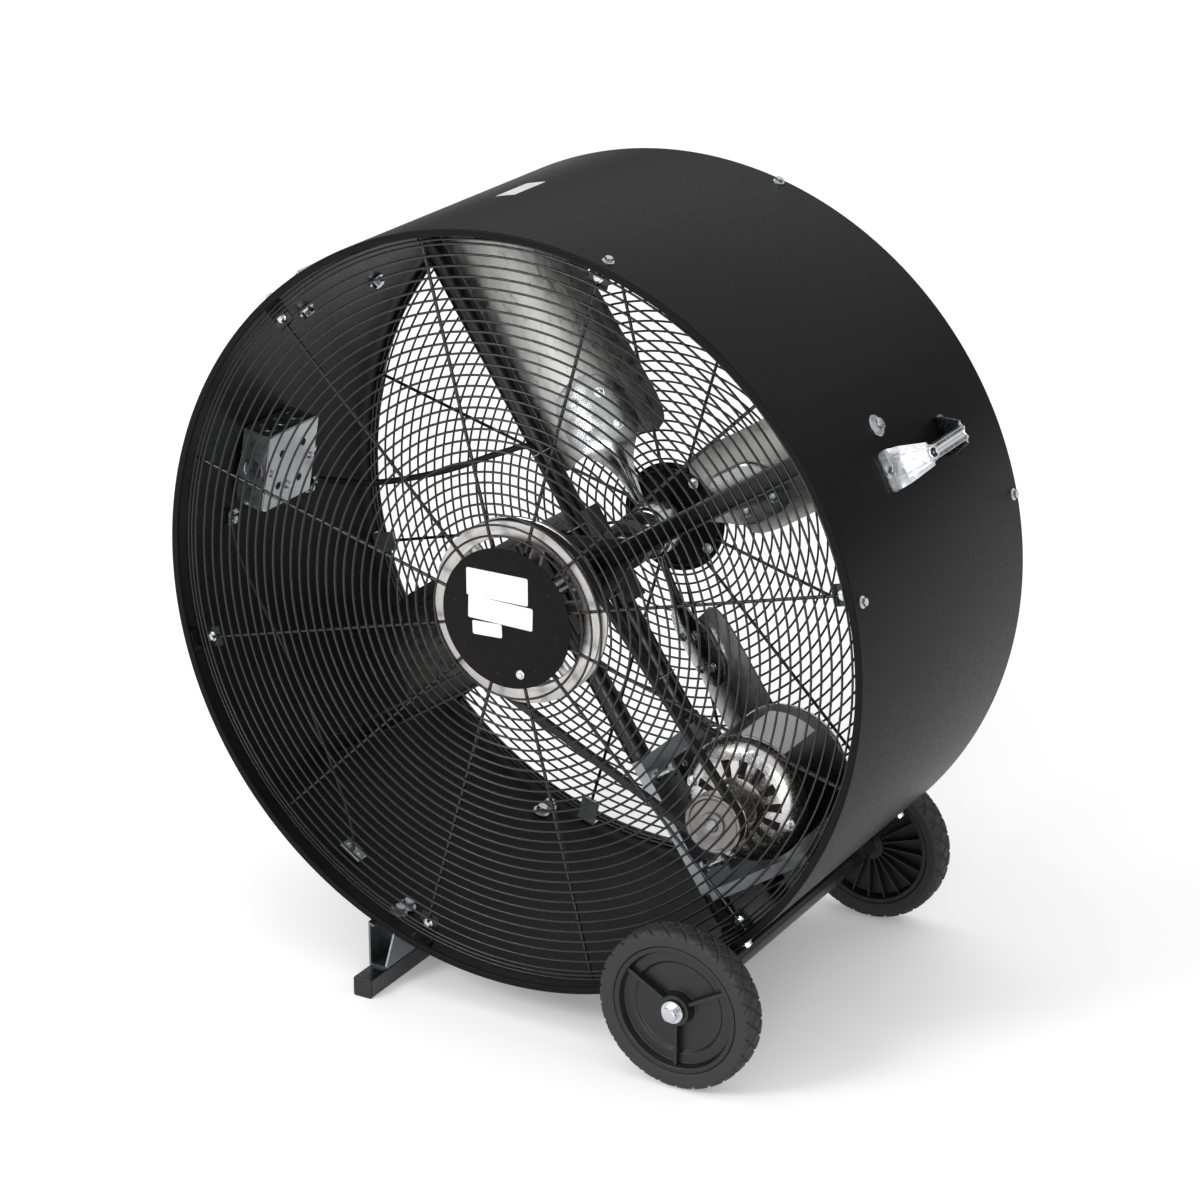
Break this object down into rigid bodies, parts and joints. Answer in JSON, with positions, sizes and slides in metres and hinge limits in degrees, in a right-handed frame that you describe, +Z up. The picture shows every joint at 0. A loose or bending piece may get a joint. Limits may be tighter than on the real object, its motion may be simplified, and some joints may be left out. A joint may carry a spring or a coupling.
{
  "type": "drum fan",
  "caption": "Belt-drive drum fan: sheet drum with wire grilles, bladed rotor on pillow blocks, V-belt from a motor on a tray, lift handles, wheels and a foot tube.",
  "frame": {"origin": "on the floor under the middle of the drum, half-way along its depth", "axes": "+Z up, +Y along the drum from the intake face to the outlet face, +X to the right seen from the intake side"},
  "size_m": [0.93, 0.5766, 0.975],
  "materials": {
    "powder_black": "black powder coat with a fine grain",
    "wire_black": "glossy black coated wire",
    "frame_black": "satin black enamel",
    "zinc": "bright zinc plate",
    "galvanised": "galvanised sheet",
    "blade_aluminium": "mill-finish sheet",
    "cast_aluminium": "as-cast alloy",
    "steel": "ground steel",
    "belt_rubber": "dull black rubber",
    "cable_rubber": "black cable jacket",
    "tyre_rubber": "solid black rubber with a diamond tread",
    "wheel_plastic": "moulded black plastic",
    "bracket_grey": "zinc-plated folded sheet"
  },
  "bodies": {
    "frame": {"rear_tube": "frame_black", "front_tube": "frame_black", "right_arm": "frame_black", "left_arm": "frame_black", "spider_plate": "frame_black", "front_pillow_block": "frame_black", "rear_pillow_block": "frame_black", "front_bearing_insert": "steel", "rear_bearing_insert": "steel", "drive_belt": "belt_rubber", "motor_front_bell": "cast_aluminium", "motor_shell": "frame_black", "motor_rear_bell": "cast_aluminium", "motor_base": "frame_black", "tension_stud_1": "zinc", "tension_stud_2": "zinc", "tension_stud_3": "zinc", "tension_stud_4": "zinc", "motor_tray": "bracket_grey", "motor_cable": "cable_rubber", "drum": "powder_black", "intake_grille": "wire_black", "outlet_grille": "wire_black", "centre_plate": "powder_black", "electrical_box": "galvanised", "box_cover": "galvanised", "right_handle": "galvanised", "left_handle": "galvanised", "axle_saddle_front": "frame_black", "axle_saddle_rear": "frame_black", "foot_tube": "frame_black", "foot_cap_front": "wheel_plastic", "foot_bracket_front": "bracket_grey", "foot_cap_rear": "wheel_plastic", "foot_bracket_rear": "bracket_grey", "axle": "zinc", "axle_tube": "frame_black"},
    "fan_rotor": {"fan_shaft": "steel", "fan_sheave": "cast_aluminium", "blade_hub": "blade_aluminium", "blade_1": "blade_aluminium", "blade_2": "blade_aluminium", "blade_3": "blade_aluminium", "blade_4": "blade_aluminium"},
    "motor_rotor": {"motor_shaft": "steel", "motor_pulley": "cast_aluminium"},
    "front_wheel": {"front_wheel_tyre": "tyre_rubber", "front_wheel_rim": "wheel_plastic"},
    "rear_wheel": {"rear_wheel_tyre": "tyre_rubber", "rear_wheel_rim": "wheel_plastic"}
  },
  "joints": [
    {"name": "fan_spin", "type": "hinge", "parent": "frame", "child": "fan_rotor", "pos_m": [0, 0, 0.51], "axis": [0, 1, 0], "continuous": true},
    {"name": "motor_spin", "type": "hinge", "parent": "frame", "child": "motor_rotor", "pos_m": [0.2615, -0.171, 0.2983], "axis": [0, 1, 0], "continuous": true},
    {"name": "front_wheel_spin", "type": "hinge", "parent": "frame", "child": "front_wheel", "pos_m": [0.26344, -0.259, 0.101], "axis": [0, 1, 0], "continuous": true},
    {"name": "rear_wheel_spin", "type": "hinge", "parent": "frame", "child": "rear_wheel", "pos_m": [0.26344, 0.259, 0.101], "axis": [0, 1, 0], "continuous": true}
  ],
  "couplings": [
    {"joint": "motor_spin", "follows": "fan_spin", "ratio": 3.375}
  ]
}
